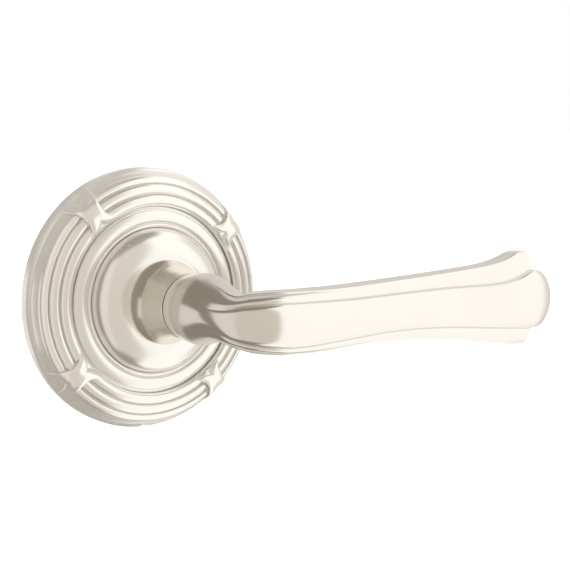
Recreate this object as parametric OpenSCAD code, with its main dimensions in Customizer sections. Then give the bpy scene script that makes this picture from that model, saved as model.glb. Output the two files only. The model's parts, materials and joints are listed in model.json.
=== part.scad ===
// Lever handle trim for one side of a door: a reeded round rose with ribbon ties,
// a neck collar, a cranked lever with a fluted grip, and the sprung cassette behind.
// Frame: origin on the spindle axis at the door face, -Y out of the door, +X along
// the lever, +Z up. Depths called "out" are measured from the door face towards -Y.

/* [Rose] */
// Radius of the rose at its rim
rose_r = 33.35; // [32.8:0.05:34]
// Height of the rose's dome where the neck collar sits
dome_out = 13.5; // [13.3:0.1:14]
// Number of ribbon ties across the reeds
tie_count = 4; // [2:1:6]
// Angle of the first ribbon tie, from the lever's direction
tie_angle = 38.7; // [30:0.1:60]

/* [Neck] */
// Radius of the collar's foot on the dome
collar_foot_r = 10.65; // [10.4:0.05:11]
// Outer radius of the neck just behind the lever
neck_r = 8.3; // [8.1:0.05:8.6]
// Distance out from the door at which the neck ends
neck_out = 24.9; // [24.5:0.1:26]
// Radius of the lever's journal, which turns in the neck
journal_r = 6.8; // [6.6:0.05:6.9]

/* [Lever] */
// Distance of the tip from the spindle axis
lever_reach = 99.6; // [97:0.1:103]
// Distance of the grip's middle plane from the door
grip_out = 45; // [44:0.5:48]
// Radius of the elbow, along the lever's centre line
elbow_r = 13; // [12:0.5:14]
// Radius of the shank where it meets the elbow
shank_r = 8.65; // [8.5:0.05:8.8]
// Radius of the shank where it leaves the neck
shank_start_r = 8.1; // [7.8:0.05:8.2]

/* [Spindle and cassette] */
// Side of the square spindle
spindle_side = 8; // [7.6:0.1:8]
// Length of spindle behind the door face
spindle_back = 52; // [40:1:70]
// Lever travel from rest, in degrees
lever_travel = 50; // [40:5:55]
// Thickness of the mounting plate
plate_t = 1.6; // [1.4:0.1:1.8]
// Outer radius of the spring cassette
cassette_r = 15.4; // [15.2:0.1:15.4]
// Wire thickness of the return spring
wire_t = 1.5; // [1.2:0.1:1.5]

/* [Fixing] */
// Distance between the two mounting posts
post_spacing = 38.1; // [38.1:0.1:39]
// Radius of a mounting post
post_r = 3.2; // [2.8:0.1:3.3]
// Length of a mounting post behind the plate
post_len = 22; // [16:1:30]
// Outer radius of the ring that centres the plate in the door's bore
spigot_r = 26.8; // [26.4:0.1:26.9]
// Length of the centring ring
spigot_len = 4; // [3:0.5:6]

/* [Hidden] */
$fn = 96;

// Colours: satin nickel outside, plated steel, zinc, acetal and spring steel inside
nickel = [0.80, 0.77, 0.72];
plated_steel = [0.72, 0.72, 0.70];
zinc = [0.60, 0.61, 0.62];
acetal = [0.90, 0.89, 0.84];
spring_steel = [0.45, 0.45, 0.46];
dark_steel = [0.25, 0.25, 0.27];

// Clearances, radial unless they are along the axis
running = 0.05;
seat = 0.02;
gap = 0.05;

// Rose: radii where one moulding ends and the next begins
reed_a_r = 31.4;
reed_b_r = 29.4;
reed_c_r = 26.7;
groove_r = 23.6;
land_r = 22.8;
land_end_r = 19.5;
bead_end_r = 18.4;
dome_foot_out = 7.9;
rose_bore_r = 9.3;

// Collar, bush and nut
collar_thread_r = 9.22;
collar_bore_r = journal_r + running + 0.6;
collar_back = 9.7;
nut_across_flats = 20.4;
nut_t = 1.5;
lock_washer_t = 0.4;
dome_inner_out = dome_out - 1.7;
washer_t = 0.25;
shoulder_out = neck_out + washer_t + 2 * gap;

// Cassette
cassette_out = 9.4;
cassette_wall = 1.4;
cassette_floor = 1.4;
cassette_inner_r = cassette_r - cassette_wall;
floor_out = cassette_out - cassette_floor;
hub_front_r = 8;
bush_wall = 0.9;
hub_rear_r = 8.95;
hub_body_r = 9.3;
plate_bore_r = hub_rear_r + running;
hub_back = -3;
plate_relief = 0.3;
groove_in = -2.2;
clip_groove_t = 0.65;
circlip_t = 1;
hub_flange_t = 0.8;
tab_in_r = 12.05;
tab_out_r = 12.75;
tab_half_w = 0.9;
stop_r = 13.4;
stop_half_angle = 7;
spring_r = 11;
spring_low = 3.5;
spring_pitch = 1.65;
leg_end_r = 13.6;
leg_side = tab_half_w + wire_t / 2 + gap;
rivet_pitch_r = 17.8;
rivet_r = 1.2;
lug_t = 1.2;

// Lever: the elbow's start, the stations where the shank starts, the ears and the tip
elbow_start = grip_out - elbow_r;
shank_start = shoulder_out - elbow_start;
ears_at = 169.5;
ear_slant = 2.2;
edge_corner = 0.3;
tip_at = 90 + lever_reach - elbow_r;
journal_back = 10.2;

// Square socket and spindle
square_side = spindle_side + 0.1;
spindle_front = 34.4;
socket_out = 35;
cross_pin_out = -4.3;
cross_pin_r = 1.25;

// Plate, posts and screws
plate_r = 30.2;
plate_lip_out = 3.6;
plate_lip_t = 1.4;
spare_hole_at = 21.5;
spare_hole_r = 2.1;
post_head_r = 3.4;
post_head_t = 0.9;
post_neck_r = 2.4;
post_thread_r = 1.75;
post_thread_depth = 18;
rose_screw_r = 1.25;
rose_screw_out = 2;
rose_screw_len = 2;
rose_screw_key_r = 0.75;
lever_screw_r = 2.5;
lever_screw_out = 30;
lever_screw_top = spindle_side / 2 + gap;
lever_screw_len = 4.1;

// ---- helpers -------------------------------------------------------------

// Turns a shape drawn in the rose's face, with z as the distance out of the door
module facing() {
  rotate([90, 0, 0]) children();
}

// A ring between two distances out of the door
module ring(inner_r, outer_r, from_out, to_out) {
  rotate_extrude()
    translate([inner_r, from_out]) square([outer_r - inner_r, to_out - from_out]);
}

// A half-round moulding from one point of a profile to the next, raised by rise
function moulding(a, b, rise, steps = 8) = [
  for (i = [0:steps])
    let (turn = 180 * i / steps, t = (1 - cos(turn)) / 2)
    [a[0] + (b[0] - a[0]) * t, a[1] + (b[1] - a[1]) * t + rise * sin(turn)]
];

// A quarter-ellipse that leaves its foot upright and reaches its top level
function quarter(foot, top, steps = 12) = [
  for (i = [0:steps])
    let (turn = 90 * i / steps)
    [top[0] + (foot[0] - top[0]) * cos(turn), foot[1] + (top[1] - foot[1]) * sin(turn)]
];

// Value of a curve through hand-set [position, value] stations, eased between them
function eased(stations, x) =
  let (
    last = len(stations) - 1,
    i = max([0, for (k = [0:last - 1]) if (x >= stations[k][0]) k]),
    p0 = stations[max(i - 1, 0)],
    p1 = stations[i],
    p2 = stations[i + 1],
    p3 = stations[min(i + 2, last)],
    span = p2[0] - p1[0],
    t = min(1, max(0, (x - p1[0]) / span)),
    m1 = i == 0 ? (p2[1] - p1[1]) : (p2[1] - p0[1]) / (p2[0] - p0[0]) * span,
    m2 = i + 2 > last ? (p2[1] - p1[1]) : (p3[1] - p1[1]) / (p3[0] - p1[0]) * span
  )
  (2 * pow(t, 3) - 3 * pow(t, 2) + 1) * p1[1] + (pow(t, 3) - 2 * pow(t, 2) + t) * m1
  + (3 * pow(t, 2) - 2 * pow(t, 3)) * p2[1] + (pow(t, 3) - pow(t, 2)) * m2;

// Smooth rise from 0 to 1 between two positions
function blend(from, to, x) =
  let (t = min(1, max(0, (x - from) / (to - from))))
  t * t * (3 - 2 * t);

// Middle of a ring of points
function middle_of(points) =
  [for (axis = [0:2]) let (values = [for (p = points) p[axis]]) (min(values) + max(values)) / 2];

// A closed solid swept through rings of points, each ring of the same count
module swept(rings) {
  count = len(rings[0]);
  last = len(rings) - 1;
  total = count * len(rings);
  points = concat([for (one = rings) each one], [middle_of(rings[0]), middle_of(rings[last])]);
  sides = [
    for (i = [0:last - 1], k = [0:count - 1])
      let (a = i * count + k, b = i * count + (k + 1) % count)
      each [[a, b, b + count], [a, b + count, a + count]]
  ];
  start_cap = [for (k = [0:count - 1]) [total, (k + 1) % count, k]];
  end_cap = [for (k = [0:count - 1]) [total + 1, last * count + k, last * count + (k + 1) % count]];
  polyhedron(points = points, faces = concat(sides, start_cap, end_cap));
}

// ---- rose ----------------------------------------------------------------

// Outer moulding of the rose, from the rim to the dome's top
function rose_face() = concat(
  [
    [rose_r, 0], [rose_r, 2.6], [rose_r - 0.85, 3.4], [rose_r - 1.15, 4],
    [rose_r - 1.45, 4.6], [rose_r - 1.78, 5.2]
  ],
  moulding([reed_a_r, 5.5], [reed_b_r, 6.6], 0.95),
  moulding([reed_b_r - 0.05, 6.6], [reed_c_r, 7.4], 1),
  moulding([reed_c_r - 0.05, 7.4], [groove_r, 7.7], 1.2),
  [[groove_r - 0.1, 7.1], [land_r + 0.4, 7.1], [land_r + 0.3, 7.9]],
  moulding([land_r, 8], [land_end_r, 8.3], 0.6),
  moulding([land_end_r - 0.05, 8.3], [bead_end_r, 8.15], 0.45, 6),
  quarter([bead_end_r - 0.05, 8.1], [collar_foot_r + 0.4, dome_out], 14)
);

module rosette_blank() {
  rotate_extrude()
    polygon(concat(
      rose_face(),
      [[rose_bore_r, dome_out], [rose_bore_r, dome_inner_out]],
      [for (i = [8:-1:0]) quarter([16.7, dome_foot_out], [12, dome_inner_out], 8)[i]],
      [
        [16.9, 6.3], [18.6, 6.3], [19.4, 6.8], [22.3, 6.4], [23.6, 5.6], [26.5, 5.7],
        [29, 4.9], [30.4, 4.3], [31, 2.9], [31.6, 1.6], [31.6, 0]
      ]
    ));
}

// Planform of a ribbon tie: an hourglass with a notch at each end, along +X
module tie_outline() {
  polygon([
    [23.7, 4.7], [25, 3.9], [26.8, 3.1], [28.4, 2.9], [30, 3.2], [31.8, 4],
    [32.1, 2.2], [31.5, 0], [32.1, -2.2], [31.8, -4], [30, -3.2], [28.4, -2.9],
    [26.8, -3.1], [25, -3.9], [23.7, -4.7], [23.5, -2.4], [24.8, 0], [23.5, 2.4]
  ]);
}

// A ribbon tie lies over the three reeds as a smooth raised band
module ribbon_tie() {
  intersection() {
    rotate_extrude()
      polygon(concat(
        [[32.2, 3.6]],
        moulding([32, 4.6], [23.6, 7.5], 2.9, 14),
        [[23.6, 5.9], [29, 5.2], [31.2, 4]]
      ));
    linear_extrude(height = 14) tie_outline();
  }
}

module rosette() {
  color(nickel)
  facing()
  difference() {
    union() {
      rosette_blank();
      for (i = [0:tie_count - 1])
        rotate([0, 0, tie_angle + i * 360 / tie_count]) ribbon_tie();
    }
    translate([0, -rose_r + 3, rose_screw_out])
      rotate([90, 0, 0]) cylinder(r = rose_screw_r + gap, h = 6);
  }
}

module rose_set_screw() {
  color(dark_steel)
  facing()
  difference() {
    translate([0, -plate_r - gap, rose_screw_out])
      rotate([90, 0, 0]) cylinder(r = rose_screw_r, h = rose_screw_len);
    translate([0, -plate_r - gap - rose_screw_len / 2, rose_screw_out])
      rotate([90, 0, 0]) cylinder(r = rose_screw_key_r, h = rose_screw_len, $fn = 6);
  }
}

// ---- neck ----------------------------------------------------------------

module neck_collar() {
  color(nickel)
  facing()
  rotate_extrude()
    polygon([
      [collar_bore_r, collar_back], [collar_thread_r, collar_back],
      [collar_thread_r, dome_out + seat], [collar_foot_r - 0.25, dome_out + seat],
      [collar_foot_r, dome_out + 0.25], [collar_foot_r, dome_out + 0.5],
      [collar_foot_r - 0.35, dome_out + 1.1], [collar_foot_r - 0.8, dome_out + 1.9],
      [collar_foot_r - 1.2, dome_out + 2.8], [neck_r + 0.9, dome_out + 3.6],
      [neck_r + 0.55, dome_out + 5.4], [neck_r + 0.3, dome_out + 7.2],
      [neck_r + 0.1, dome_out + 9.2], [neck_r, neck_out - 0.5],
      [neck_r - 0.3, neck_out], [collar_bore_r, neck_out]
    ]);
}

module collar_nut() {
  color(plated_steel)
  facing()
  difference() {
    translate([0, 0, dome_inner_out - lock_washer_t - nut_t - 2 * seat])
      cylinder(d = nut_across_flats / cos(30), h = nut_t, $fn = 6);
    cylinder(r = collar_thread_r + seat, h = 20);
  }
}

module collar_lock_washer() {
  color(spring_steel)
  facing()
  difference() {
    ring(collar_thread_r + 0.1, 11.6, dome_inner_out - lock_washer_t - seat, dome_inner_out - seat);
    for (i = [0:11])
      rotate([0, 0, 30 * i])
        translate([12, 0, dome_inner_out - 3]) cylinder(r = 0.9, h = 6);
  }
}

module neck_bush() {
  color(acetal)
  facing()
  difference() {
    ring(journal_r + running, collar_bore_r - seat, collar_back + 0.4, neck_out - 0.3);
    for (i = [0:2])
      rotate([0, 0, 120 * i + 60])
        translate([collar_bore_r, 0, neck_out - 3]) cylinder(r = 0.3, h = 6);
  }
}

module thrust_washer() {
  color(acetal)
  facing()
  ring(journal_r + 0.15, shank_start_r, neck_out + gap, neck_out + gap + washer_t);
}

// ---- plate, posts and cassette --------------------------------------------

module at_posts() {
  for (side = [-1, 1])
    translate([0, side * post_spacing / 2, 0]) children();
}

module at_rivets() {
  for (i = [0:3])
    rotate([0, 0, 45 + 90 * i]) translate([rivet_pitch_r, 0, 0]) children();
}

module mounting_plate() {
  color(plated_steel)
  facing()
  difference() {
    rotate_extrude()
      polygon([
        [plate_bore_r, plate_relief], [spigot_r - plate_lip_t, plate_relief],
        [spigot_r - plate_lip_t, -spigot_len], [spigot_r, -spigot_len], [spigot_r, 0],
        [plate_r, 0], [plate_r, plate_lip_out], [plate_r - plate_lip_t, plate_lip_out],
        [plate_r - plate_lip_t, plate_t], [plate_bore_r, plate_t]
      ]);
    at_posts() translate([0, 0, -1]) cylinder(r = post_neck_r + seat, h = plate_t + 2);
    at_rivets() translate([0, 0, -1]) cylinder(r = rivet_r + seat, h = plate_t + 2);
    for (side = [-1, 1])
      translate([side * spare_hole_at, 0, -1]) cylinder(r = spare_hole_r, h = plate_t + 2);
  }
}

module post() {
  facing()
  difference() {
    union() {
      translate([0, 0, -post_len]) cylinder(r = post_r, h = post_len + plate_relief - seat);
      translate([0, 0, -post_len]) cylinder(r = post_neck_r, h = post_len + plate_t + 0.1);
      translate([0, 0, plate_t + seat]) cylinder(r = post_head_r, h = post_head_t);
    }
    translate([0, 0, -post_len - 1]) cylinder(r = post_thread_r, h = post_thread_depth + 1);
  }
}

module upper_post() {
  color(plated_steel) translate([0, 0, post_spacing / 2]) post();
}

module lower_post() {
  color(plated_steel) translate([0, 0, -post_spacing / 2]) post();
}

// Wedge of a ring between two angles, for stops and flanges
module ring_sector(inner_r, outer_r, from_out, to_out, from_angle, to_angle) {
  rotate([0, 0, from_angle])
    rotate_extrude(angle = to_angle - from_angle)
      translate([inner_r, from_out]) square([outer_r - inner_r, to_out - from_out]);
}

module cassette_housing() {
  travel_low = -90 - lever_travel / 2 - stop_half_angle - 1;
  travel_high = -90 + lever_travel / 2 + stop_half_angle + 1;
  color(plated_steel)
  facing()
  difference() {
    union() {
      ring(hub_front_r + running + bush_wall + seat, cassette_r, floor_out, cassette_out);
      ring(cassette_inner_r, cassette_r, plate_t + seat, floor_out + 0.1);
      intersection() {
        ring(cassette_inner_r + 0.5, rivet_pitch_r + 3, plate_t + seat, plate_t + seat + lug_t);
        for (i = [0:1])
          rotate([0, 0, 45 + 90 * i])
            translate([-30, -3, 0]) cube([60, 6, 5]);
      }
      translate([-tab_half_w, tab_out_r + 0.2, plate_t + 0.2])
        cube([2 * tab_half_w, cassette_inner_r - tab_out_r, floor_out - plate_t]);
      ring_sector(tab_out_r + 0.25, cassette_inner_r + 0.5, plate_t + 0.2, floor_out + 0.1,
        travel_high, travel_high + 12);
      ring_sector(tab_out_r + 0.25, cassette_inner_r + 0.5, plate_t + 0.2, floor_out + 0.1,
        travel_low - 12, travel_low);
    }
    at_rivets() cylinder(r = rivet_r + seat, h = 5);
  }
}

module cassette_rivets() {
  color(zinc)
  facing()
  at_rivets() {
    translate([0, 0, plate_relief + 0.05]) cylinder(r = rivet_r, h = plate_t + lug_t - 0.1);
    translate([0, 0, plate_t + lug_t + 2 * seat])
      rotate_extrude()
        polygon([[0, 0], [2.1, 0], [2.1, 0.3], [1.6, 0.75], [0.8, 0.95], [0, 1]]);
  }
}

module hub_bush() {
  color(acetal)
  facing()
  ring(hub_front_r + running, hub_front_r + running + bush_wall, floor_out + seat, cassette_out - seat);
}

module hub() {
  color(zinc)
  facing()
  difference() {
    union() {
      rotate_extrude()
        polygon([
          [0, hub_back], [hub_rear_r, hub_back], [hub_rear_r, groove_in],
          [hub_rear_r - clip_groove_t, groove_in],
          [hub_rear_r - clip_groove_t, groove_in + circlip_t + 0.1],
          [hub_rear_r, groove_in + circlip_t + 0.1], [hub_rear_r, plate_t + 0.1],
          [11.6, plate_t + 0.1], [11.6, plate_t + 0.1 + hub_flange_t],
          [hub_body_r, plate_t + 0.1 + hub_flange_t], [hub_body_r, floor_out - 0.15],
          [hub_front_r, floor_out - 0.15], [hub_front_r, cassette_out + 0.15],
          [0, cassette_out + 0.15]
        ]);
      translate([-tab_half_w, 9, plate_t + 0.15])
        cube([2 * tab_half_w, tab_out_r - 9.1, hub_flange_t - 0.1]);
      translate([-tab_half_w, tab_in_r, plate_t + 0.15])
        cube([2 * tab_half_w, tab_out_r - tab_in_r - 0.1, floor_out - plate_t - 0.5]);
      stop_angle = -90 + lever_travel / 2;
      ring_sector(9, stop_r, plate_t + 0.15, plate_t + 0.05 + hub_flange_t,
        stop_angle - stop_half_angle, stop_angle + stop_half_angle);
    }
    translate([-square_side / 2, -square_side / 2, hub_back - 1])
      cube([square_side, square_side, 20]);
  }
}

module hub_circlip() {
  inner_r = hub_rear_r - clip_groove_t + seat;
  color(spring_steel)
  facing()
  difference() {
    union() {
      ring_sector(inner_r, 10.2, groove_in + gap, groove_in + gap + circlip_t - 0.1, -60, 240);
      for (angle = [-60, 240])
        rotate([0, 0, angle]) translate([10.1, 0, groove_in + gap])
          cylinder(r = 1.6, h = circlip_t - 0.1);
    }
    for (angle = [-60, 240])
      rotate([0, 0, angle]) translate([10.2, 0, groove_in - 1]) cylinder(r = 0.8, h = 4);
    translate([0, 0, groove_in - 1]) cylinder(r = inner_r, h = 4);
  }
}

// A thin ring whose faces rise and fall three times around
module wave_washer() {
  inner_r = hub_rear_r + 0.15;
  outer_r = 11;
  thickness = 0.3;
  height = 1.1;
  middle = (groove_in + circlip_t + plate_relief) / 2;
  function corner(turn, r, side) =
    [r * cos(turn), r * sin(turn), middle + height * sin(3 * turn) / 2 + side * thickness / 2];
  steps = 48;
  points = [
    for (i = [0:steps - 1])
      let (turn = 360 * i / steps)
      each [
        corner(turn, inner_r, -1), corner(turn, outer_r, -1),
        corner(turn, outer_r, 1), corner(turn, inner_r, 1)
      ]
  ];
  faces = [
    for (i = [0:steps - 1], k = [0:3])
      let (
        a = 4 * i + k,
        b = 4 * i + (k + 1) % 4,
        c = (4 * (i + 1)) % (4 * steps) + (k + 1) % 4,
        d = (4 * (i + 1)) % (4 * steps) + k
      )
      each [[a, c, b], [a, d, c]]
  ];
  color(spring_steel) facing() polyhedron(points = points, faces = faces);
}

// Return spring: two turns of round wire whose crossed legs hold the hub's tab
module return_spring() {
  sides = 8;
  steps = 56;
  leg_turn = acos(leg_side / spring_r);
  sweep_turn = 720 + 2 * (90 - leg_turn);
  rise = spring_pitch * sweep_turn / 360;
  coil = [
    for (i = [0:steps])
      let (t = i / steps, turn = 180 - leg_turn - sweep_turn * t)
      [spring_r * cos(turn), spring_r * sin(turn), spring_low + rise * t]
  ];
  path = concat([[-leg_side, leg_end_r, spring_low]], coil, [[leg_side, leg_end_r, spring_low + rise]]);
  last = len(path) - 1;
  function unit(v) = v / norm(v);
  function tangent(i) =
    i == 0 ? unit(path[1] - path[0])
    : i == last ? unit(path[last] - path[last - 1])
    : unit(unit(path[i + 1] - path[i]) + unit(path[i] - path[i - 1]));
  function wire_ring(i) =
    let (
      along = tangent(i),
      across = unit(cross(along, [0, 0, 1])),
      upward = cross(across, along)
    )
    [
      for (k = [0:sides - 1])
        let (turn = -360 * k / sides)
        path[i] + wire_t / 2 * (cos(turn) * across + sin(turn) * upward)
    ];
  color(spring_steel) facing() swept([for (i = [0:last]) wire_ring(i)]);
}

// ---- spindle ---------------------------------------------------------------

module spindle() {
  half = spindle_side / 2;
  edge = 0.35;
  color(plated_steel)
  facing()
  difference() {
    translate([0, 0, -spindle_back])
      linear_extrude(height = spindle_back + spindle_front)
        polygon([
          [half, half - edge], [half - edge, half], [edge - half, half], [-half, half - edge],
          [-half, edge - half], [edge - half, -half], [half - edge, -half], [half, edge - half]
        ]);
    translate([0, 10, cross_pin_out]) rotate([90, 0, 0]) cylinder(r = cross_pin_r + seat, h = 20);
  }
}

module spindle_cross_pin() {
  color(dark_steel)
  facing()
  translate([0, 6.6, cross_pin_out]) rotate([90, 0, 0]) cylinder(r = cross_pin_r, h = 13.2);
}

// ---- lever -----------------------------------------------------------------

// Stations along the lever: millimetres before the elbow below 0, degrees turned round
// the elbow from 0 to 90, and 90 plus the millimetres beyond the elbow above that.

// Top and bottom edges of the lever, above and below the spindle axis
top_edge = [
  [shank_start, shank_start_r], [-4.5, 8.4], [-1, shank_r], [10, 8.3], [26, 6.6], [42, 4.4],
  [56, 4.8], [78, 5.1], [94, 5.1], [107, 5.4], [124, 6.4], [140, 7.5], [152, 8.5], [159, 9.5],
  [163, 10.5], [166, 11.5], [169.5, 11.8]
];
bottom_edge = [
  [shank_start, -shank_start_r], [-4.5, -8.4], [-1, -shank_r], [10, -7.9], [26, -7], [42, -8],
  [56, -9.2], [78, -10], [94, -10.2], [103, -9.7], [113, -8.9], [125, -8.9], [139, -9.7],
  [150, -10.9], [161, -12.4], [169.5, -13]
];
// Grooves that part the raised panel from the two flanges
top_groove = [
  [shank_start, 2.4], [26, 1.8], [42, 1.9], [56, 2.2], [78, 2.5], [94, 2.4], [107, 2.4],
  [124, 3], [140, 3.5], [154, 3.6], [160, 4], [164, 4.9], [167, 6], [169.5, 6.7], [tip_at, 6.7]
];
bottom_groove = [
  [shank_start, -2], [26, -3], [42, -5.6], [56, -6.9], [78, -7.8], [94, -8.1], [107, -7.2],
  [121, -6.2], [134, -6.2], [145, -6.8], [156, -7.7], [169.5, -8.7], [tip_at, -8.7]
];
// Depth of the panel's crest, of the grooves and of the back from the middle plane
crest_depth = [
  [shank_start, shank_start_r], [-4.5, 8.4], [-1, shank_r], [10, 8.8], [22, 9.1], [34, 9],
  [46, 8.4], [60, 7.6], [90, 6.4], [130, 5.4], [160, 5.3], [tip_at, 4.4]
];
groove_depth = [
  [shank_start, 8], [34, 7.5], [50, 6], [70, 4.8], [90, 4.3], [130, 3.6], [160, 3.3], [tip_at, 2.2]
];
back_depth = [
  [shank_start, shank_start_r], [-4.5, 8.4], [-1, shank_r], [20, 8], [50, 7], [90, 6],
  [130, 4.8], [160, 4.2], [tip_at, 3]
];

// How far the flanges fall away from the groove to a round shoulder at their edges
shoulder_drop = [[shank_start, 2.6], [56, 2.6], [90, 1.5], [107, 0.35], [tip_at, 0.25]];

// Plan of a cross-section: [segment, place along it, angle round a plain shank from the top]
section_plan = concat(
  [for (i = [0:12]) ["panel", i / 12, 74 + 52 * i / 12]],
  [for (i = [1:3]) ["low_flange", i / 3, 126 + 38 * i / 3]],
  [for (i = [1:3]) ["low_side", i / 4, 164 + 32 * i / 4]],
  [for (i = [0:10]) ["back", i / 10, 196 + 148 * i / 10]],
  [for (i = [1:3]) ["top_side", 1 - i / 4, 344 + 32 * i / 4]],
  [for (i = [1:3]) ["top_flange", 1 - (i - 1) / 3, 376 + 58 * (i - 1) / 3]]
);

// Point on a flange's front face, from its groove to its edge
function flange_point(edge, groove, valley, edge_depth, t) =
  let (inset = edge > groove ? -edge_corner : edge_corner)
  [
    groove + (edge + inset - groove) * t,
    valley + 0.35 * pow(sin(180 * t), 0.7) - (valley - edge_depth) * pow(t, 3)
  ];

// Point on a flange's narrow side face, from its front edge to the back
function side_point(edge, back, edge_depth, t) =
  let (start = edge_depth - edge_corner)
  [edge, start - (start + 0.55 * back) * (t - 0.25) / 0.75];

// Point of the grip's section: [height above the spindle axis, depth from the middle plane]
function grip_point(s, plan) =
  let (
    top = eased(top_edge, s),
    low = eased(bottom_edge, s),
    upper = eased(top_groove, s),
    lower = eased(bottom_groove, s),
    crest = eased(crest_depth, s),
    valley = eased(groove_depth, s),
    back = eased(back_depth, s),
    edge_depth = valley - eased(shoulder_drop, s),
    fullness = 0.8 - 0.25 * blend(90, 120, s),
    t = plan[1]
  )
  plan[0] == "panel" ? [
    (upper + lower) / 2 + (upper - lower) / 2 * cos(180 * t),
    valley + (crest - valley) * pow(sin(180 * t), fullness)
  ]
  : plan[0] == "low_flange" ? flange_point(low, lower, valley, edge_depth, t)
  : plan[0] == "low_side" ? side_point(low, back, edge_depth, t)
  : plan[0] == "top_side" ? side_point(top, back, edge_depth, t)
  : plan[0] == "top_flange" ? flange_point(top, upper, valley, edge_depth, t)
  : [
    (top + low) / 2 - (top - low) / 2 * 0.95 * cos(180 * t),
    -back * (0.66 + 0.34 * sin(180 * t))
  ];

// Point of the plain shank's section, an ellipse between the same edges
function shank_point(s, plan) =
  let (top = eased(top_edge, s), low = eased(bottom_edge, s))
  [
    (top + low) / 2 + (top - low) / 2 * cos(plan[2]),
    sin(plan[2]) * (sin(plan[2]) > 0 ? eased(crest_depth, s) : eased(back_depth, s))
  ];

// Place of a station on the centre line, as [along the lever, out of the door]
function centre(s) =
  s < 0 ? [0, elbow_start + s]
  : s < 90 ? [elbow_r * (1 - cos(s)), elbow_start + elbow_r * sin(s)]
  : [elbow_r + s - 90, grip_out];

// Beyond the ears only the panel goes on, as a tongue with a thinner body behind it
function tongue_section(s, plan) =
  let (
    upper = eased(top_groove, s),
    lower = eased(bottom_groove, s),
    valley = eased(groove_depth, s),
    edge = plan[0] == "low_flange" || plan[0] == "low_side" ? lower : upper,
    inward = edge == lower ? 1 : -1,
    t = plan[1]
  )
  plan[0] == "panel" ? grip_point(s, plan)
  : plan[0] == "low_flange" || plan[0] == "top_flange" ? [edge + inward * 0.15 * t, valley - 1.2 * t]
  : plan[0] == "low_side" || plan[0] == "top_side"
    ? [edge + inward * (0.15 + 0.5 * t), valley - 1.2 - 1.8 * t]
  : [(upper + lower) / 2 - (upper - lower) * 0.44 * cos(180 * t), valley - 3 - 0.8 * sin(180 * t)];

// The tongue rounds off at the tip, in height and in depth
function tongue_point(s, plan) =
  let (
    past = (s - ears_at) / (tip_at - ears_at),
    shrink = sqrt(max(0, 1 - pow(past, 2.2))),
    middle = (eased(top_groove, s) + eased(bottom_groove, s)) / 2,
    flat = tongue_section(s, plan)
  )
  [middle + (flat[0] - middle) * shrink, 1.6 + (flat[1] - 1.6) * (0.35 + 0.65 * shrink)];

// How far a height lies out from the grooves to the section's edges, from 0 to 1
function beyond_groove(s, height) =
  let (upper = eased(top_groove, s), lower = eased(bottom_groove, s))
  min(1, max(
    0,
    (height - upper) / (eased(top_edge, s) - upper),
    (height - lower) / (eased(bottom_edge, s) - lower)
  ));

// One ring of the lever, in the door face's own axes. The ears' ends slant back to their edges
function lever_ring(s, tongue) =
  let (
    place = centre(s),
    turn = min(90, max(0, s)),
    grip = blend(14, 52, s),
    slant = tongue ? 0 : ear_slant * blend(150, ears_at, s)
  )
  [
    for (k = [len(section_plan) - 1:-1:0])
      let (
        plan = section_plan[k],
        mixed = grip * grip_point(s, plan) + (1 - grip) * shank_point(s, plan),
        flat = tongue ? tongue_point(s, plan) : mixed
      )
      [
        place[0] - flat[1] * cos(turn) - slant * beyond_groove(s, flat[0]),
        flat[0],
        place[1] + flat[1] * sin(turn)
      ]
  ];

module lever_body() {
  stations = concat(
    [shank_start, -5.4, -4, -2, 0],
    [for (s = [7:7:84]) s],
    [for (s = [90:7:146]) s],
    [150, 154, 158, 161, 163.5, 165.5, 167.5, ears_at]
  );
  tongue_len = tip_at - ears_at;
  tongue = [for (t = [0.06, 0.3, 0.5, 0.68, 0.82, 0.91, 0.965, 0.99]) ears_at + t * tongue_len];
  swept(concat(
    [for (s = stations) lever_ring(s, false)],
    [for (s = tongue) lever_ring(s, true)]
  ));
}

module lever_handle() {
  color(nickel)
  facing()
  difference() {
    union() {
      lever_body();
      translate([0, 0, journal_back]) cylinder(r = journal_r, h = shoulder_out + 1 - journal_back);
    }
    translate([-square_side / 2, -square_side / 2, journal_back - 1])
      cube([square_side, square_side, socket_out - journal_back + 1]);
    translate([0, -spindle_side / 2 + 0.5, lever_screw_out])
      rotate([90, 0, 0]) cylinder(r = lever_screw_r + gap, h = 8);
  }
}

module lever_set_screw() {
  color(dark_steel)
  facing()
  difference() {
    translate([0, -lever_screw_top, lever_screw_out])
      rotate([90, 0, 0]) cylinder(r = lever_screw_r, h = lever_screw_len);
    translate([0, -lever_screw_top - lever_screw_len + 2, lever_screw_out])
      rotate([90, 0, 0]) cylinder(r = 1.45, h = 4, $fn = 6);
  }
}

rosette();
neck_collar();
collar_nut();
collar_lock_washer();
neck_bush();
mounting_plate();
cassette_housing();
cassette_rivets();
hub_bush();
upper_post();
lower_post();
rose_set_screw();
return_spring();
lever_handle();
lever_set_screw();
thrust_washer();
hub();
hub_circlip();
wave_washer();
spindle();
spindle_cross_pin();
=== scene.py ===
import json
import math

import bmesh
import bpy
import numpy as np
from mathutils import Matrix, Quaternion, Vector


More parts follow.
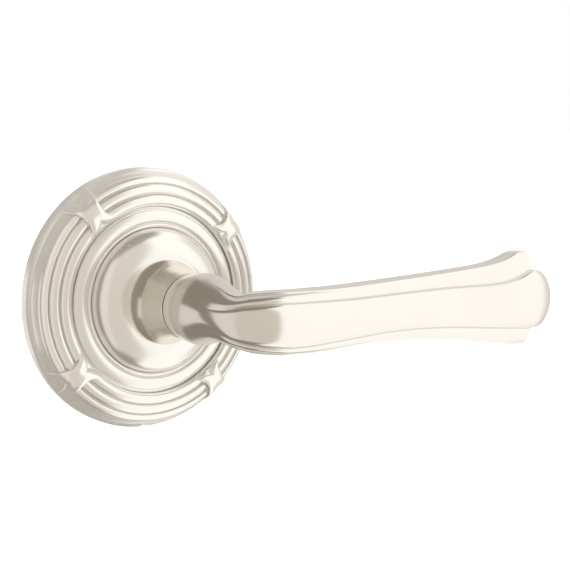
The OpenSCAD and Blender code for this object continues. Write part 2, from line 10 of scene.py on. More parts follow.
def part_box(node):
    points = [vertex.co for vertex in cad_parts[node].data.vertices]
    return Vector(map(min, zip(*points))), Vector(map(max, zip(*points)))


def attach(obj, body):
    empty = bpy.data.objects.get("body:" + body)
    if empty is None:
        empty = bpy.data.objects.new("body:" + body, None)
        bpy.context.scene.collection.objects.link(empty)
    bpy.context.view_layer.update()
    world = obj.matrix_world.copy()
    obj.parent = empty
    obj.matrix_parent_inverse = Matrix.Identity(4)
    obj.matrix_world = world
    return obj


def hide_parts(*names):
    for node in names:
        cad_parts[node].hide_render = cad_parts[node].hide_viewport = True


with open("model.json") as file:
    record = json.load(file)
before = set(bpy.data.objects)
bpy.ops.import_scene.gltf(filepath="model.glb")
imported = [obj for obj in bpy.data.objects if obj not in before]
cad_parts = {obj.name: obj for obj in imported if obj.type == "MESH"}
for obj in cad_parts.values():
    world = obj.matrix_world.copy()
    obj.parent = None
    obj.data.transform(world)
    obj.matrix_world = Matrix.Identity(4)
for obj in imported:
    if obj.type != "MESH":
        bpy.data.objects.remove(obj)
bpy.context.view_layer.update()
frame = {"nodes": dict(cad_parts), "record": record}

# ---- the object's driving sizes, in millimetres ------------------------------------------

MM = 0.001
ROSE_LOW, ROSE_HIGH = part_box("rosette")
ROSE_R = ROSE_HIGH.x / MM
DOME_OUT = -ROSE_LOW.y / MM
COLLAR_LOW, COLLAR_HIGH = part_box("neck_collar")
NECK_OUT = -COLLAR_LOW.y / MM
COLLAR_FOOT_R = COLLAR_HIGH.x / MM
NECK_R = 8.3
LEVER_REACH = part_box("lever_handle")[1].x / MM
GRIP_OUT = 45.0
ELBOW_R = 13.0
ROSE_SCREW_HOLE_R, ROSE_SCREW_OUT = 1.3, 2.0
LEVER_SCREW_HOLE_R, LEVER_SCREW_OUT = 2.55, 30.0
HOLE_STEPS = 48


def rising(low, high, x):
    """Smooth rise from 0 to 1 between two positions."""
    t = np.clip((np.asarray(x, float) - low) / (high - low), 0, 1)
    return t * t * (3 - 2 * t)


def eased(stations, x):
    """A smooth curve through given (position, value) stations."""
    xs, ys = np.array(stations, float).T
    slope = np.gradient(ys, xs)
    slope[0] = (ys[1] - ys[0]) / (xs[1] - xs[0])
    slope[-1] = (ys[-1] - ys[-2]) / (xs[-1] - xs[-2])
    slope[1:-1] = (ys[2:] - ys[:-2]) / (xs[2:] - xs[:-2])
    i = np.clip(np.searchsorted(xs, x, side="right") - 1, 0, len(xs) - 2)
    span = xs[i + 1] - xs[i]
    t = np.clip((x - xs[i]) / span, 0, 1)
    return (
        (2 * t**3 - 3 * t**2 + 1) * ys[i]
        + (t**3 - 2 * t**2 + t) * span * slope[i]
        + (3 * t**2 - 2 * t**3) * ys[i + 1]
        + (t**3 - t**2) * span * slope[i + 1]
    )


# ---- mesh building -------------------------------------------------------------------------


def from_face(across, up, out):
    """Points in the door face's own axes, turned into the object's axes."""
    return np.stack([across, -out, up], -1)


def grid_mesh(name, points, wrap_rows=False, caps=()):
    """A mesh from a grid of points [row, column, xyz] in millimetres, closed round its columns."""
    rows, columns = points.shape[:2]
    row_count = rows if wrap_rows else rows - 1
    i, j = np.meshgrid(np.arange(row_count), np.arange(columns), indexing="ij")
    nexti, nextj = (i + 1) % rows, (j + 1) % columns
    corners = [i * columns + j, i * columns + nextj, nexti * columns + nextj, nexti * columns + j]
    faces = np.stack(corners, -1).reshape(-1, 4).tolist()
    for row in caps:
        ring = [row * columns + k for k in range(columns)]
        faces.append(ring if row else ring[::-1])
    mesh = bpy.data.meshes.new(name)
    mesh.from_pydata((points.reshape(-1, 3) * MM).tolist(), [], faces)
    mesh.validate()
    piece = bpy.data.objects.new(name, mesh)
    bpy.context.scene.collection.objects.link(piece)
    return piece


def face_outward(piece):
    """Turns every face's normal outwards."""
    work = bmesh.new()
    work.from_mesh(piece.data)
    bmesh.ops.recalc_face_normals(work, faces=work.faces)
    work.to_mesh(piece.data)
    work.free()


def smooth(piece, sharp_degrees):
    """Smooth shading, with edges sharper than the angle kept crisp."""
    piece.data.shade_smooth()
    piece.data.set_sharp_from_angle(angle=math.radians(sharp_degrees))


def bore_below(piece, radius, out, low, high):
    """Cuts a round upright hole through a piece, between two heights, at a distance out."""
    turn = np.linspace(0, 2 * math.pi, HOLE_STEPS, endpoint=False)
    rings = [
        from_face(radius * np.cos(turn), np.full(HOLE_STEPS, height), out + radius * np.sin(turn))
        for height in (low, high)
    ]
    cutter = grid_mesh("cutter", np.array(rings), caps=(0, 1))
    face_outward(cutter)
    cut = piece.modifiers.new("bore", "BOOLEAN")
    cut.operation, cut.solver, cut.object = "DIFFERENCE", "EXACT", cutter
    seen = piece.evaluated_get(bpy.context.evaluated_depsgraph_get())
    piece.data = bpy.data.meshes.new_from_object(seen)
    piece.modifiers.clear()
    bpy.data.objects.remove(cutter)


# ---- materials -----------------------------------------------------------------------------

# Brush marks per metre across the brushing, along the lever, and round a turned piece
BRUSH_FINE, BRUSH_LONG, BRUSH_ROUND = 9000, 160, 30
RIM_DULL_FROM = (0.0295, 0.0320)
RIM_DULLING = 0.12


class Nodes:
    """A short hand for building one node tree."""

    def __init__(self, tree):
        self.tree = tree

    def add(self, kind, **settings):
        node = self.tree.nodes.new(kind)
        for key, value in settings.items():
            setattr(node, key, value)
        return node

    def link(self, source, output, target, socket):
        self.tree.links.new(source.outputs[output], target.inputs[socket])

    def math(self, operation, *values):
        """A maths node on (node, output) pairs."""
        node = self.add("ShaderNodeMath", operation=operation)
        for k, (source, output) in enumerate(values):
            self.link(source, output, node, k)
        return node


class Shader(Nodes):
    """A short hand for building one node material."""

    def __init__(self, name):
        self.material = bpy.data.materials.new(name)
        self.material.use_nodes = True
        super().__init__(self.material.node_tree)
        self.tree.nodes.clear()
        out = self.add("ShaderNodeOutputMaterial")
        self.bsdf = self.add("ShaderNodeBsdfPrincipled")
        self.link(self.bsdf, "BSDF", out, "Surface")

    def place(self, scale=(1, 1, 1)):
        """Object coordinates stretched by scale."""
        coordinates = self.add("ShaderNodeTexCoord")
        mapping = self.add("ShaderNodeMapping")
        mapping.inputs["Scale"].default_value = scale
        self.link(coordinates, "Object", mapping, "Vector")
        return mapping

    def noise(self, where, scale, detail, roughness=0.5):
        """A noise over the given coordinates."""
        node = self.add("ShaderNodeTexNoise")
        node.inputs["Scale"].default_value = scale
        node.inputs["Detail"].default_value = detail
        node.inputs["Roughness"].default_value = roughness
        self.link(where, "Vector", node, "Vector")
        return node

    def remap(self, source, output, low, high):
        """Stretches a 0.3 to 0.7 noise value to between low and high."""
        node = self.add("ShaderNodeMapRange")
        node.inputs["From Min"].default_value = 0.3
        node.inputs["From Max"].default_value = 0.7
        node.inputs["To Min"].default_value = low
        node.inputs["To Max"].default_value = high
        self.link(source, output, node, "Value")
        return node

    def tint(self, source, output, dark, light):
        """Sets the colour to a mix of two by a value."""
        node = self.add("ShaderNodeMix", data_type="RGBA")
        node.inputs["A"].default_value = (*dark, 1)
        node.inputs["B"].default_value = (*light, 1)
        self.link(source, output, node, "Factor")
        self.link(node, "Result", self.bsdf, "Base Color")

    def round_axis(self):
        """Object coordinates split up, then across the spindle axis, and the radius from it."""
        coordinates = self.add("ShaderNodeTexCoord")
        split = self.add("ShaderNodeSeparateXYZ")
        self.link(coordinates, "Object", split, "Vector")
        flat = self.add("ShaderNodeCombineXYZ")
        self.link(split, "X", flat, "X")
        self.link(split, "Z", flat, "Y")
        radius = self.add("ShaderNodeVectorMath", operation="LENGTH")
        self.link(flat, "Vector", radius, 0)
        return split, flat, radius

    def turned_place(self):
        """Coordinates that stretch a noise round the spindle axis, as a turned finish has it."""
        split, flat, radius = self.round_axis()
        radial = self.add("ShaderNodeMath", operation="MULTIPLY")
        radial.inputs[1].default_value = BRUSH_FINE
        self.link(radius, "Value", radial, 0)
        out = self.add("ShaderNodeMath", operation="MULTIPLY")
        out.inputs[1].default_value = BRUSH_FINE
        self.link(split, "Y", out, 0)
        unit = self.add("ShaderNodeVectorMath", operation="NORMALIZE")
        self.link(flat, "Vector", unit, 0)
        scaled = self.add("ShaderNodeVectorMath", operation="SCALE")
        scaled.inputs["Scale"].default_value = BRUSH_ROUND
        self.link(unit, "Vector", scaled, 0)
        shift = self.add("ShaderNodeCombineXYZ")
        self.link(radial, "Value", shift, "X")
        self.link(out, "Value", shift, "Y")
        self.link(radial, "Value", shift, "Z")
        total = self.add("ShaderNodeVectorMath", operation="ADD")
        self.link(scaled, "Vector", total, 0)
        self.link(shift, "Vector", total, 1)
        return total

    def duller_rim(self, metallic):
        """Makes the plating duller towards the rose's outer rim."""
        radius = self.round_axis()[2]
        dull = self.add("ShaderNodeMapRange", interpolation_type="SMOOTHSTEP")
        dull.inputs["From Min"].default_value, dull.inputs["From Max"].default_value = RIM_DULL_FROM
        dull.inputs["To Min"].default_value = metallic
        dull.inputs["To Max"].default_value = metallic - RIM_DULLING
        self.link(radius, "Value", dull, "Value")
        self.link(dull, "Result", self.bsdf, "Metallic")

    def bump(self, source, output, strength, distance):
        """Raises the surface by a value."""
        node = self.add("ShaderNodeBump")
        node.inputs["Strength"].default_value = strength
        node.inputs["Distance"].default_value = distance
        self.link(source, output, node, "Height")
        self.link(node, "Normal", self.bsdf, "Normal")


def satin_nickel(name, colour, rough, turned, metallic=1.0):
    """Satin nickel plate with fine brushing, round the axis or along the lever."""
    shader = Shader(name)
    shader.bsdf.inputs["Metallic"].default_value = metallic
    along_lever = (BRUSH_LONG, BRUSH_FINE, BRUSH_FINE)
    brush = shader.noise(shader.turned_place() if turned else shader.place(along_lever), 1.0, 2.0)
    cloud = shader.noise(shader.place(), 55, 2.0)
    dark = tuple(c * 0.97 for c in colour)
    shader.tint(shader.remap(cloud, "Fac", 0, 1), "Result", dark, colour)
    if turned:
        shader.duller_rim(metallic)
    mixed = shader.add("ShaderNodeMath", operation="ADD")
    shader.link(shader.remap(brush, "Fac", -0.02, 0.02), "Result", mixed, 0)
    shader.link(shader.remap(cloud, "Fac", rough - 0.02, rough + 0.02), "Result", mixed, 1)
    shader.link(mixed, "Value", shader.bsdf, "Roughness")
    shader.bump(brush, "Fac", 0.015 if turned else 0.03, 0.00003)
    return shader.material


def machined(name, colour, rough, grain, metallic=1.0, strength=0.2):
    """Plain metal or plastic with a fine grain in its colour, gloss and surface."""
    shader = Shader(name)
    shader.bsdf.inputs["Metallic"].default_value = metallic
    fine = shader.noise(shader.place(grain), 1.0, 4.0, 0.6)
    cloud = shader.noise(shader.place(), 140, 3.0)
    dark = tuple(c * 0.85 for c in colour)
    shader.tint(shader.remap(cloud, "Fac", 0, 1), "Result", dark, colour)
    gloss = shader.remap(fine, "Fac", rough - 0.06, rough + 0.06)
    shader.link(gloss, "Result", shader.bsdf, "Roughness")
    shader.bump(fine, "Fac", strength, 0.00008)
    return shader.material


NICKEL = (0.85, 0.828, 0.797)
MATERIALS = {
    "satin_nickel": satin_nickel("satin_nickel_turned", NICKEL, 0.23, True, 0.94),
    "satin_nickel_collar": satin_nickel("satin_nickel_collar", (0.87, 0.835, 0.76), 0.21, True),
    "satin_nickel_lever": satin_nickel("satin_nickel_brushed", (0.83, 0.805, 0.765), 0.2, False),
    "plated_steel": machined("zinc_plated_steel", (0.66, 0.66, 0.63), 0.34, (700, 700, 700)),
    "spindle_steel": machined("drawn_steel", (0.58, 0.58, 0.58), 0.30, (5000, 150, 5000)),
    "spring_steel": machined("oiled_spring_steel", (0.30, 0.30, 0.31), 0.32, (1500, 1500, 1500)),
    "die_cast_zinc": machined("die_cast_zinc", (0.50, 0.51, 0.52), 0.48, (1100, 1100, 1100)),
    "acetal": machined("natural_acetal", (0.82, 0.81, 0.76), 0.42, (900, 900, 900), 0.0, 0.08),
    # dark_acetal: partly the plastic's own dark colour, partly painted shade: made near black so that
    # the thrust washer paints the shaded crease between the neck collar and the lever
    "dark_acetal": machined("dark_acetal", (0.05, 0.045, 0.04), 0.45, (900, 900, 900), 0.0, 0.08),
    "black_steel": machined("black_oxide_steel", (0.07, 0.07, 0.075), 0.38, (1300, 1300, 1300)),
}


def dress(piece, slot):
    """Gives a piece its one material."""
    piece.data.materials.clear()
    piece.data.materials.append(MATERIALS[slot])


# ---- rose ----------------------------------------------------------------------------------

TIE_COUNT = 4
TIE_ANGLE = 38.7
TIE_R = 27.9
TIE_HALF_WIDTH = 2.75
TIE_INNER_END, TIE_OUTER_END = 4.35, 4.75
TIE_ROUNDING = 1.5
TIE_SINK, TIE_RISE, TIE_CREASE = 0.5, 0.8, 0.16
TIE_REACH = math.radians(16)
TIE_MESH_REACH = math.radians(13)
FINE_STEP, COARSE_STEP = math.radians(0.3), math.radians(1.25)
REED_BAND = (23.3, 32.7)
REED_POINT_GAP = 0.17
ROSE_BORE_R = 9.3
REED_A_R, REED_B_R, REED_C_R, GROOVE_R = 31.4, 29.4, 26.7, 23.6
LAND_R, LAND_END_R, BEAD_END_R = 22.8, 19.5, 18.4


def moulding(a, b, rise, steps=24):
    """A half-round moulding from one point of a profile to the next."""
    turn = np.linspace(0, math.pi, steps + 1)
    t = (1 - np.cos(turn)) / 2
    return [
        (a[0] + (b[0] - a[0]) * k, a[1] + (b[1] - a[1]) * k + rise * math.sin(s))
        for k, s in zip(t, turn)
    ]


def quarter(foot, top, steps=60):
    """A quarter-ellipse that leaves its foot upright and reaches its top level."""
    turn = np.linspace(0, math.pi / 2, steps + 1)
    return [
        (top[0] + (foot[0] - top[0]) * math.cos(s), foot[1] + (top[1] - foot[1]) * math.sin(s))
        for s in turn
    ]


def rose_profile():
    """Outer moulding from the rim to the bore, then the hollow back, as (radius, out)."""
    face = [(ROSE_R - 0.1, 0), (ROSE_R, 0.1)]
    rim = [(0, 2.5), (0.05, 2.62), (0.85, 3.4), (0.97, 3.6), (1.15, 4.0), (1.45, 4.6), (1.78, 5.2)]
    face += [(ROSE_R - inward, out) for inward, out in rim]
    face += moulding((REED_A_R, 5.5), (REED_B_R, 6.6), 0.85)
    face += moulding((REED_B_R - 0.05, 6.6), (REED_C_R, 7.4), 0.9)
    face += moulding((REED_C_R - 0.05, 7.4), (GROOVE_R, 7.7), 1.1)
    face += [(GROOVE_R - 0.1, 7.1), (LAND_R + 0.4, 7.1), (LAND_R + 0.3, 7.9), (LAND_R + 0.1, 8.0)]
    face += moulding((LAND_R, 8.0), (LAND_END_R, 8.3), 0.55)
    face += moulding((LAND_END_R - 0.05, 8.3), (BEAD_END_R, 8.15), 0.4, 12)
    face += quarter((BEAD_END_R - 0.05, 8.1), (COLLAR_FOOT_R + 0.5, DOME_OUT - 0.05))
    face += [
        (COLLAR_FOOT_R + 0.3, DOME_OUT), (ROSE_BORE_R, DOME_OUT), (ROSE_BORE_R, DOME_OUT - 1.7),
    ]
    inner_dome = np.linspace(0, math.pi / 2, 12)
    face += [(12 + 4.7 * math.sin(s), 7.9 + 3.9 * math.cos(s)) for s in inner_dome]
    face += [
        (16.9, 6.3), (18.6, 6.3), (19.4, 6.8), (22.3, 6.4), (23.6, 5.6), (26.5, 5.7),
        (29, 4.9), (30.4, 4.3), (31, 2.9), (31.6, 1.6), (31.6, 0),
    ]
    return np.array(face)


# Height that a ribbon tie lies at over the reeds, by radius
TIE_COVER = [
    (23.3, 7.3), (23.7, 8.1), (24.6, 8.8), (26, 9.0), (27.9, 8.95), (29.6, 8.4), (31.0, 7.2),
    (32.0, 5.6), (32.5, 4.2),
]


def tie_height(radius, angle):
    """Height of the nearest ribbon tie, a four-pointed pillow, or -1 where there is none."""
    step = 2 * math.pi / TIE_COUNT
    off = (angle - math.radians(TIE_ANGLE) + step / 2) % step - step / 2
    along = radius * np.cos(off) - TIE_R
    side = np.abs(radius * np.sin(off))
    half = TIE_HALF_WIDTH + np.where(along < 0, 0.118, 0.085) * along**2
    to_side = half - side
    to_notch = np.where(along < 0, (side - 1.7 * (-along - 3.0)) * 0.5, side - 1.6 * (along - 3.4))
    to_end = np.minimum(along + TIE_INNER_END, TIE_OUTER_END - along)
    edge = np.minimum(np.minimum(to_side, to_notch), to_end)
    crown = np.sqrt(np.clip(1 - (1 - np.clip(edge / TIE_ROUNDING, 0, 1)) ** 2, 0, 1))
    inside = (edge > 0) & (np.abs(off) < TIE_REACH)
    crease = TIE_CREASE * np.exp(-((side / 0.7) ** 2)) * np.clip(-along / 4, 0, 1)
    height = eased(TIE_COVER, radius) - TIE_SINK + TIE_RISE * crown - crease
    return np.where(inside, height, -1.0)


def spread(points, longest):
    """Adds points along a profile, so that within the reeds none are further apart than longest."""
    result = [points[0]]
    for a, b in zip(points[:-1], points[1:]):
        near, far = min(a[0], b[0]), max(a[0], b[0])
        in_reeds = REED_BAND[0] < far and near < REED_BAND[1] and min(a[1], b[1]) > 3
        outside = a[1] > 4.2 or a[0] > 31.5
        count = 1
        if in_reeds and outside:
            count = max(1, math.ceil(np.hypot(*(b - a)) / longest))
        result += [a + (b - a) * k / count for k in range(1, count + 1)]
    return np.array(result)


def build_rosette():
    """The rose, whose mesh is finer round each ribbon tie."""
    profile = rose_profile()
    front_count = next(i for i, p in enumerate(profile) if p[0] < ROSE_BORE_R + 0.01)
    front = spread(profile[: front_count + 1], REED_POINT_GAP)
    profile = np.concatenate([front, profile[front_count + 1 :]])
    step = 2 * math.pi / TIE_COUNT
    near = np.arange(-TIE_MESH_REACH, TIE_MESH_REACH, FINE_STEP)
    far = np.arange(TIE_MESH_REACH, step - TIE_MESH_REACH, COARSE_STEP)
    one = np.concatenate([near, far])
    angles = np.concatenate([one + math.radians(TIE_ANGLE) + k * step for k in range(TIE_COUNT)])
    radius, angle = np.meshgrid(profile[:, 0], angles, indexing="ij")
    height = np.repeat(profile[:, 1:2], len(angles), 1)
    on_front = np.arange(len(profile))[:, None] < len(front)
    tie = tie_height(radius, angle)
    height = np.where(on_front & (tie > height) & (height > 3), tie, height)
    piece = grid_mesh(
        "rosette_cast",
        from_face(radius * np.cos(angle), radius * np.sin(angle), height),
        wrap_rows=True,
    )
    face_outward(piece)
    bore_below(piece, ROSE_SCREW_HOLE_R, ROSE_SCREW_OUT, -ROSE_R - 2, -ROSE_R + 3)
    smooth(piece, 38)
    return piece


# ---- neck ----------------------------------------------------------------------------------


def revolve(name, profile, steps=256, sharp=35):
    """A turned piece from a closed profile of (radius, out)."""
    profile = np.array(profile, float)
    angle = np.linspace(0, 2 * math.pi, steps, endpoint=False)
    radius, turn = np.meshgrid(profile[:, 0], angle, indexing="ij")
    out = np.repeat(profile[:, 1:2], steps, 1)
    points = from_face(radius * np.cos(turn), radius * np.sin(turn), out)
    piece = grid_mesh(name, points, wrap_rows=True)
    face_outward(piece)
    smooth(piece, sharp)
    return piece


# The collar's outside above its foot: how far it has tapered, from the foot (1) to the neck (0)
COLLAR_TAPER = [
    (0.55, 1.0), (1.1, 0.85), (1.9, 0.66), (2.8, 0.49), (3.6, 0.38), (5.4, 0.23), (7.2, 0.13),
    (9.2, 0.045), (11.1, 0.0),
]
COLLAR_BORE_R, COLLAR_STEM_R, COLLAR_BACK_OUT = 7.45, 9.22, 9.7


def build_collar():
    """The collar, from its stem inside the rose to the neck."""
    foot, neck = COLLAR_FOOT_R, NECK_R
    base = DOME_OUT + 0.02
    profile = [(COLLAR_BORE_R, COLLAR_BACK_OUT), (COLLAR_STEM_R, COLLAR_BACK_OUT)]
    profile += [(COLLAR_STEM_R, base), (foot - 0.2, base)]
    profile += [(foot - 0.06, base + 0.06), (foot, base + 0.2), (foot, base + 0.45)]
    profile += [
        (neck + (foot - neck) * float(eased(COLLAR_TAPER, rise)), base + rise)
        for rise in np.linspace(0.6, 11.1, 60)
    ]
    profile += [
        (neck - 0.2 * (1 - math.cos(s)), NECK_OUT - 0.2 + 0.2 * math.sin(s))
        for s in np.linspace(0.1, math.pi / 2, 8)
    ]
    profile += [(COLLAR_BORE_R, NECK_OUT)]
    return revolve("neck_collar_turned", profile)


# ---- lever ---------------------------------------------------------------------------------

ELBOW_START = GRIP_OUT - ELBOW_R
SHOULDER_OUT = 25.25
SHANK_START = SHOULDER_OUT - ELBOW_START
SHANK_R = 8.65
SHANK_START_R = 8.1
EARS_AT = 169.5
EAR_SLANT = 2.2
TIP_AT = 90 + LEVER_REACH - ELBOW_R

TOP_EDGE = [
    (SHANK_START, SHANK_START_R), (-4.5, 8.4), (-1, SHANK_R), (10, 8.3), (26, 6.6), (42, 4.4),
    (56, 4.8), (78, 5.1), (94, 5.1), (107, 5.4), (124, 6.4), (140, 7.5), (152, 8.5), (159, 9.5),
    (163, 10.5), (166, 11.5), (169.5, 11.8),
]
BOTTOM_EDGE = [
    (SHANK_START, -SHANK_START_R), (-4.5, -8.4), (-1, -SHANK_R), (10, -7.9), (26, -7), (42, -8),
    (56, -9.2), (78, -10), (94, -10.2), (103, -9.7), (113, -8.9), (125, -8.9), (139, -9.7),
    (150, -10.9), (161, -12.4), (169.5, -13),
]
TOP_GROOVE = [
    (SHANK_START, 2.4), (26, 1.8), (42, 1.9), (56, 2.2), (78, 2.5), (94, 2.4), (107, 2.4),
    (124, 3), (140, 3.5), (154, 3.6), (160, 4), (164, 4.9), (167, 6), (169.5, 6.7), (TIP_AT, 6.7),
]
BOTTOM_GROOVE = [
    (SHANK_START, -2), (26, -3), (42, -5.6), (56, -6.9), (78, -7.8), (94, -8.1), (107, -7.2),
    (121, -6.2), (134, -6.2), (145, -6.8), (156, -7.7), (169.5, -8.7), (TIP_AT, -8.7),
]
CREST_DEPTH = [
    (SHANK_START, SHANK_START_R), (-4.5, 8.4), (-1, SHANK_R), (10, 8.8), (22, 9.1), (34, 9),
    (46, 8.4), (60, 7.6), (90, 6.4), (130, 5.4), (160, 5.3), (TIP_AT, 4.4),
]
GROOVE_DEPTH = [
    (SHANK_START, 8), (34, 7.5), (50, 6), (70, 4.8), (90, 4.3), (130, 3.6), (160, 3.3), (TIP_AT, 2.2),
]
BACK_DEPTH = [
    (SHANK_START, SHANK_START_R), (-4.5, 8.4), (-1, SHANK_R), (20, 8), (50, 7), (90, 6),
    (130, 4.8), (160, 4.2), (TIP_AT, 3),
]

# How far the flanges fall away from the groove to a round shoulder at their edges
SHOULDER_DROP = [(SHANK_START, 2.6), (56, 2.6), (90, 1.5), (107, 0.35), (TIP_AT, 0.25)]
CORNER_R = 0.4

# Plan of a cross-section: the segments round it, with the number of points in each and the
# angles round a plain shank, from the top, that each segment starts and ends at
SEGMENTS = [
    ("panel", 48, 74, 126), ("low_flange", 14, 126, 162), ("low_side", 18, 162, 196),
    ("back", 32, 196, 344), ("top_side", 18, 344, 378), ("top_flange", 16, 378, 434),
]


def segment_points(kind, t, s, tongue):
    """Height and depth of one segment of the section at station s, for places t along it."""
    top, low = eased(TOP_EDGE, s), eased(BOTTOM_EDGE, s)
    upper, lower = eased(TOP_GROOVE, s), eased(BOTTOM_GROOVE, s)
    crest, valley = eased(CREST_DEPTH, s), eased(GROOVE_DEPTH, s)
    back = eased(BACK_DEPTH, s)
    if kind == "panel":
        height = (upper + lower) / 2 + (upper - lower) / 2 * np.cos(math.pi * t)
        fullness = 0.8 - 0.25 * float(rising(90, 120, s))
        return height, valley + (crest - valley) * np.sin(math.pi * t) ** fullness
    if kind == "back":
        if tongue:
            height = (upper + lower) / 2 - (upper - lower) * 0.44 * np.cos(math.pi * t)
            return height, valley - 3 - 0.8 * np.sin(math.pi * t)
        height = (top + low) / 2 - (top - low) / 2 * 0.95 * np.cos(math.pi * t)
        return height, -back * (0.66 + 0.34 * np.sin(math.pi * t))
    edge, groove, inward = (low, lower, 1) if kind.startswith("low") else (top, upper, -1)
    edge_depth = valley - eased(SHOULDER_DROP, s)
    if kind.startswith("top"):
        t = 1 - t
    if kind.endswith("flange"):
        if tongue:
            return groove + inward * 0.15 * t, valley - 1.2 * t
        height = groove + (edge + CORNER_R * inward - groove) * t
        return height, valley + 0.35 * np.sin(math.pi * t) ** 0.7 - (valley - edge_depth) * t**3
    if tongue:
        return groove + inward * (0.15 + 0.5 * t), valley - 1.2 - 1.8 * t
    corner = np.clip(t / 0.3, 0, 1) * math.pi / 2
    height = edge + inward * CORNER_R * (1 - np.sin(corner))
    start = edge_depth - CORNER_R
    fall = (start + 0.55 * back) * np.clip((t - 0.3) / 0.7, 0, 1)
    return height, edge_depth - CORNER_R * (1 - np.cos(corner)) - fall


def lever_section(s, tongue):
    """Heights and depths of the lever's section at station s."""
    grip = float(rising(14, 52, s))
    top, low = eased(TOP_EDGE, s), eased(BOTTOM_EDGE, s)
    crest, back = eased(CREST_DEPTH, s), eased(BACK_DEPTH, s)
    heights, depths = [], []
    for kind, count, first, last in SEGMENTS:
        t = np.arange(count) / count
        turn = np.radians(first + (last - first) * t)
        height, depth = segment_points(kind, t, s, tongue)
        height, depth = height * np.ones(count), depth * np.ones(count)
        if not tongue:
            plain_depth = np.sin(turn) * np.where(np.sin(turn) > 0, crest, back)
            plain_height = (top + low) / 2 + (top - low) / 2 * np.cos(turn)
            height = grip * height + (1 - grip) * plain_height
            depth = grip * depth + (1 - grip) * plain_depth
        heights.append(height)
        depths.append(depth)
    height, depth = np.concatenate(heights), np.concatenate(depths)
    if tongue:
        past = (s - EARS_AT) / (TIP_AT - EARS_AT)
        shrink = math.sqrt(max(0, 1 - past**2.2))
        middle = (eased(TOP_GROOVE, s) + eased(BOTTOM_GROOVE, s)) / 2
        height = middle + (height - middle) * shrink
        depth = 1.6 + (depth - 1.6) * (0.35 + 0.65 * shrink)
    return height, depth


def beyond_groove(height, s):
    """How far points lie out from the grooves to the section's edges, from 0 to 1."""
    above = (height - eased(TOP_GROOVE, s)) / (eased(TOP_EDGE, s) - eased(TOP_GROOVE, s))
    below = (height - eased(BOTTOM_GROOVE, s)) / (eased(BOTTOM_EDGE, s) - eased(BOTTOM_GROOVE, s))
    return np.clip(np.maximum(above, below), 0, 1)


def lever_ring(s, tongue):
    """One ring of the lever's mesh, at its place along the shank, the elbow or the grip."""
    turn = math.radians(min(90, max(0, s)))
    if s < 0:
        place = (0, ELBOW_START + s)
    elif s < 90:
        place = (ELBOW_R * (1 - math.cos(turn)), ELBOW_START + ELBOW_R * math.sin(turn))
    else:
        place = (ELBOW_R + s - 90, GRIP_OUT)
    height, depth = lever_section(s, tongue)
    if not tongue:
        slant = EAR_SLANT * float(rising(150, EARS_AT, s))
        place = (place[0] - slant * beyond_groove(height, s), place[1])
    return from_face(place[0] - depth * math.cos(turn), height, place[1] + depth * math.sin(turn))


def build_lever():
    """The lever, from its shank to the two ears, and then the tongue between them."""
    stations = [
        np.linspace(SHANK_START, 0, 24, endpoint=False),
        np.linspace(0, 90, 76, endpoint=False),
        np.linspace(90, 150, 70, endpoint=False),
        np.linspace(150, EARS_AT, 40),
    ]
    rings = [lever_ring(s, False) for s in np.concatenate(stations)]
    past = 1 - (1 - np.linspace(0.02, 1, 40)) ** 1.8
    rings += [lever_ring(EARS_AT + (TIP_AT - EARS_AT) * p, True) for p in past[:-1] * 0.999]
    piece = grid_mesh("lever_cast", np.array(rings), caps=(0, len(rings) - 1))
    face_outward(piece)
    bore_below(piece, LEVER_SCREW_HOLE_R, LEVER_SCREW_OUT, -12, -3.5)
    smooth(piece, 30)
    return piece


# ---- the pieces and their bodies -----------------------------------------------------------

BUILT = [
    (build_rosette(), "rose", "rosette", "satin_nickel"),
    (build_collar(), "rose", "neck_collar", "satin_nickel_collar"),
    (build_lever(), "lever", "lever_handle", "satin_nickel_lever"),
]
for piece, body, node, slot in BUILT:
    dress(piece, slot)
    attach(piece, body)
    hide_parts(node)

SLOT_OF = {part["node"]: part["material_slot"] for part in frame["record"]["subparts"]}
REPLACED = {node for _, _, node, _ in BUILT}
for node, piece in frame["nodes"].items():
    if node not in REPLACED:
        for material_slot in piece.material_slots:
            material_slot.material = MATERIALS[SLOT_OF[node]]

# ---- camera, floor and light ---------------------------------------------------------------

CAMERA_AZIMUTH, CAMERA_ELEVATION = math.radians(-30.05), math.radians(6.37)
CAMERA_DISTANCE = 0.401
FOCAL_PIXELS, IMAGE_SIDE = 1554, 570
ORIGIN_IN_IMAGE = (139.5, 297.1)
CAMERA_ROLL = math.radians(-0.65)


def make_camera():
    """A camera turned so that the spindle axis meets the door at its place in the frame."""
    data = bpy.data.cameras.new("camera")
    data.sensor_width = 36
    data.lens = FOCAL_PIXELS / IMAGE_SIDE * data.sensor_width
    camera = bpy.data.objects.new("camera", data)
    bpy.context.scene.collection.objects.link(camera)
    back = Vector((
        math.sin(CAMERA_AZIMUTH) * math.cos(CAMERA_ELEVATION),
        -math.cos(CAMERA_AZIMUTH) * math.cos(CAMERA_ELEVATION),
        math.sin(CAMERA_ELEVATION),
    ))
    camera.location = back * CAMERA_DISTANCE
    right = Vector((math.cos(CAMERA_AZIMUTH), math.sin(CAMERA_AZIMUTH), 0))
    up = back.cross(right)
    aside = (IMAGE_SIDE / 2 - ORIGIN_IN_IMAGE[0]) / FOCAL_PIXELS
    above = (ORIGIN_IN_IMAGE[1] - IMAGE_SIDE / 2) / FOCAL_PIXELS
    look = -back + right * aside + up * above
    camera.rotation_mode = "QUATERNION"
    roll = Quaternion(look.normalized(), CAMERA_ROLL)
    camera.rotation_quaternion = roll @ look.to_track_quat("-Z", "Y")
    data.clip_start, data.clip_end = 0.01, 200
    bpy.context.scene.camera = camera


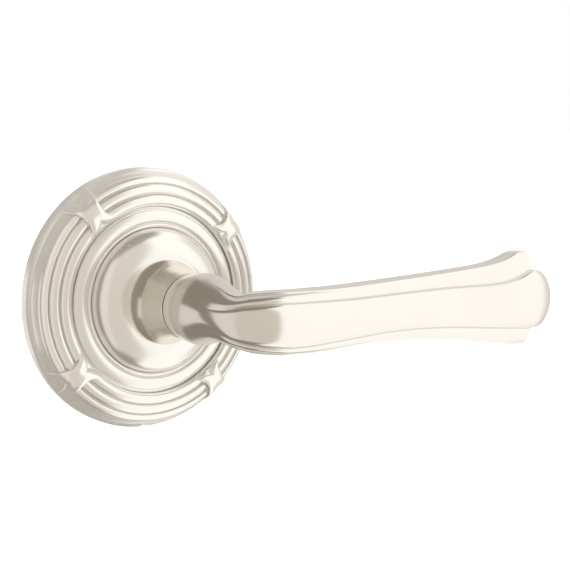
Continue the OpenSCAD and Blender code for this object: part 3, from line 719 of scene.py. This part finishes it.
def add_light(kind, name, energy, towards):
    """A light that shines towards a direction and is left out of the metal's reflections."""
    light = bpy.data.objects.new(name, bpy.data.lights.new(name, kind))
    bpy.context.scene.collection.objects.link(light)
    light.data.energy = energy
    light.visible_glossy = False
    light.rotation_mode = "QUATERNION"
    light.rotation_quaternion = towards.to_track_quat("-Z", "Y")
    return light


def make_lights():
    """A soft key light above the left shoulder, and even light over the whole floor."""
    place = Vector((-0.6, -0.8, 2.0))
    key = add_light("AREA", "key", 40, -place)
    key.location = place
    key.data.size = 1.6
    sun = add_light("SUN", "sun", 3.4, Vector((0.15, 0.2, -1)))
    sun.data.angle = math.radians(25)


def make_floor():
    """A plain pale floor below the part, left out of the metal's reflections."""
    reach, height = 60.0, -0.16
    mesh = bpy.data.meshes.new("floor")
    corners = [(-reach, -reach), (reach, -reach), (reach, reach), (-reach, reach)]
    mesh.from_pydata([(x, y, height) for x, y in corners], [], [(0, 1, 2, 3)])
    floor = bpy.data.objects.new("floor", mesh)
    bpy.context.scene.collection.objects.link(floor)
    floor.visible_glossy = False
    shader = Shader("pale_floor")
    shader.bsdf.inputs["Base Color"].default_value = (0.94, 0.94, 0.94, 1)
    shader.bsdf.inputs["Roughness"].default_value = 0.9
    shader.bsdf.inputs["Specular IOR Level"].default_value = 0.0
    mesh.materials.append(shader.material)


# Cards of the studio that the metal mirrors: azimuth from +X, elevation, softness (degrees), colour
STUDIO_BASE = (0.30, 0.268, 0.22)
STUDIO_CARDS = [
    ((75, 168), (-34, 10), 4, (0.80, 0.76, 0.72)),
    ((24, 75), (-50, 55), 8, (0.74, 0.71, 0.67)),
    ((-165, -125), (-65, 52), 5, (0.84, 0.79, 0.74)),
    ((-125, -69), (-65, 58), 4, (0.72, 0.68, 0.59)),
    ((-69, 25), (-80, 62), 3, (1.24, 1.22, 1.17)),
    ((-22, 28), (-40, 40), 9, (0.84, 0.79, 0.74)),
]


def make_world():
    """Studio surroundings made of plain cards; the camera itself sees plain white."""
    world = bpy.data.worlds.new("studio")
    world.use_nodes = True
    bpy.context.scene.world = world
    world.node_tree.nodes.clear()
    tree = Nodes(world.node_tree)
    where = tree.add("ShaderNodeTexCoord")
    split = tree.add("ShaderNodeSeparateXYZ")
    tree.link(where, "Generated", split, "Vector")
    angle = tree.math("ARCTAN2", (split, "Y"), (split, "X"))
    lift = tree.math("ARCSINE", (split, "Z"))
    under = None
    for azimuth, elevation, soft, shade in STUDIO_CARDS:
        mask = None
        for source, (low, high) in ((angle, azimuth), (lift, elevation)):
            for start, end in ((low - soft, low + soft), (high + soft, high - soft)):
                edge = tree.add("ShaderNodeMapRange", interpolation_type="SMOOTHSTEP")
                edge.inputs["From Min"].default_value = math.radians(start)
                edge.inputs["From Max"].default_value = math.radians(end)
                tree.link(source, "Value", edge, "Value")
                mask = edge if mask is None else tree.math("MULTIPLY", (mask, 0), (edge, 0))
        mixed = tree.add("ShaderNodeMix", data_type="RGBA")
        tree.link(mask, 0, mixed, "Factor")
        mixed.inputs["A"].default_value = (*STUDIO_BASE, 1)
        mixed.inputs["B"].default_value = (*shade, 1)
        if under is not None:
            tree.link(under, "Result", mixed, "A")
        under = mixed
    path = tree.add("ShaderNodeLightPath")
    seen = tree.add("ShaderNodeMix", data_type="RGBA")
    tree.link(path, "Is Camera Ray", seen, "Factor")
    tree.link(under, "Result", seen, "A")
    seen.inputs["B"].default_value = (1, 1, 1, 1)
    background = tree.add("ShaderNodeBackground")
    tree.link(seen, "Result", background, "Color")
    out = tree.add("ShaderNodeOutputWorld")
    tree.link(background, "Background", out, "Surface")


make_camera()
make_floor()
make_world()
make_lights()
bpy.context.scene.view_settings.view_transform = "Standard"
